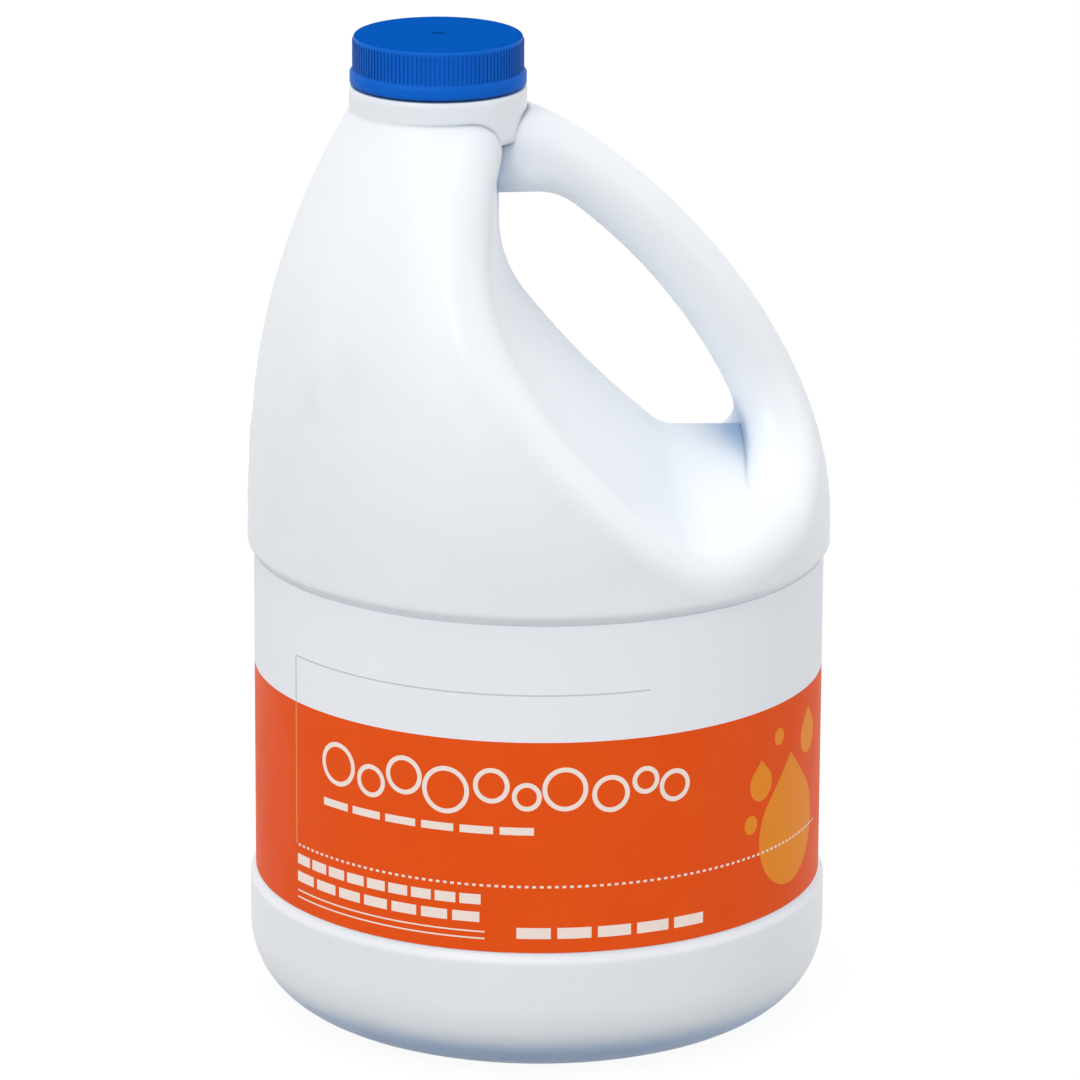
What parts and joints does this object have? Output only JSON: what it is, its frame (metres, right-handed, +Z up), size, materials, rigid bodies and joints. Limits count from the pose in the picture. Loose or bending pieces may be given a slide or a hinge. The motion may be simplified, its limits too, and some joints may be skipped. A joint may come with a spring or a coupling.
{
  "type": "bleach bottle",
  "caption": "Blow-moulded household bottle with a round body, a hollow through handle, an offset neck, a wraparound label and a screw cap.",
  "frame": {"origin": "centre of the base on the body's axis, at the level that the bottle stands on", "axes": "+Z up, +X towards the handle, -Y towards the label's front"},
  "size_m": [0.134, 0.134, 0.2285],
  "materials": {
    "bottle_plastic": "satin blow-moulded HDPE",
    "cap_plastic": "moulded polypropylene",
    "liner_foam": "foamed polyethylene",
    "label_film": "printed film, white over orange"
  },
  "bodies": {
    "vessel": {"bottle": "bottle_plastic", "label": "label_film"},
    "seal": {"cap_liner": "liner_foam"},
    "closure": {"cap": "cap_plastic"}
  },
  "joints": [
    {"name": "cap_rise", "type": "slide", "parent": "vessel", "child": "seal", "axis": [0, 0, 1], "range_m": [0, 0.0123]},
    {"name": "cap_turn", "type": "hinge", "parent": "seal", "child": "closure", "pos_m": [-0.0234, 0, 0.222], "axis": [0, 0, 1], "range_deg": [0, 1047]}
  ],
  "couplings": [
    {"joint": "cap_turn", "follows": "cap_rise", "rad_per_m": 1484.3}
  ]
}
